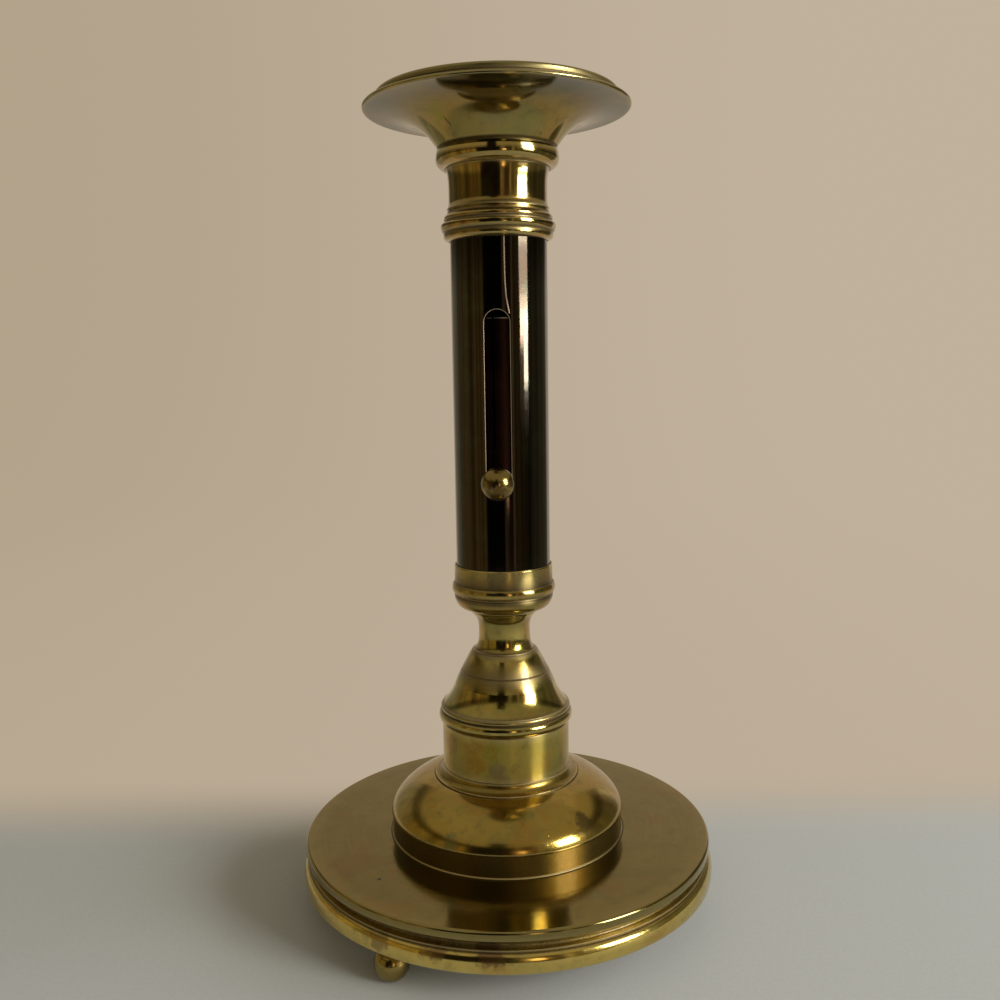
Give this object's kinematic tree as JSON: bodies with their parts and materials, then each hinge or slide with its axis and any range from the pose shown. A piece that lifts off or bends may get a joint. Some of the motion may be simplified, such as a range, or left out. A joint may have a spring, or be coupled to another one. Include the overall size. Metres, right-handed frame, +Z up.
{
  "type": "push-up candlestick",
  "caption": "Push-up candlestick: slotted barrel with a sliding candle cup and ball knob, flared drip pan, turned bell stem and a domed round base on ball feet.",
  "frame": {"origin": "on the table, under the axis of the barrel", "axes": "+Z up along the axis of the barrel; -Y towards the slot and its knob"},
  "size_m": [0.12, 0.12, 0.2285],
  "materials": {
    "brass_turned": "old polish with faint tarnish",
    "brass_base": "softly polished, darker tarnish in the corners",
    "brass_inner": "dull, unpolished",
    "bronzed_barrel": "dark bronzed and lacquered, glossy",
    "steel": "dull"
  },
  "bodies": {
    "stand": {"ball_foot_1": "brass_base", "ball_foot_2": "brass_base", "ball_foot_3": "brass_base", "base_ring": "brass_base", "base_plate": "brass_base", "foot_dome": "brass_base", "flare_ring": "brass_turned", "stem_drum": "brass_turned", "stem_bell": "brass_turned", "lower_ferrule": "brass_turned", "barrel_plug": "brass_inner", "barrel_tube": "bronzed_barrel", "upper_collar": "brass_turned", "neck_sleeve": "brass_turned", "bead_ring": "brass_turned", "drip_pan": "brass_turned", "tie_rod": "steel", "tie_washer": "steel", "tie_nut": "steel"},
    "slide": {"candle_cup": "brass_inner", "cup_floor": "brass_inner", "knob_stud": "brass_turned", "saddle_washer": "brass_inner", "stud_nut": "brass_inner", "slide_knob": "brass_turned"}
  },
  "joints": [
    {"name": "cup_slide", "type": "slide", "parent": "stand", "child": "slide", "axis": [0, 0, 1], "range_m": [0, 0.0428]}
  ]
}
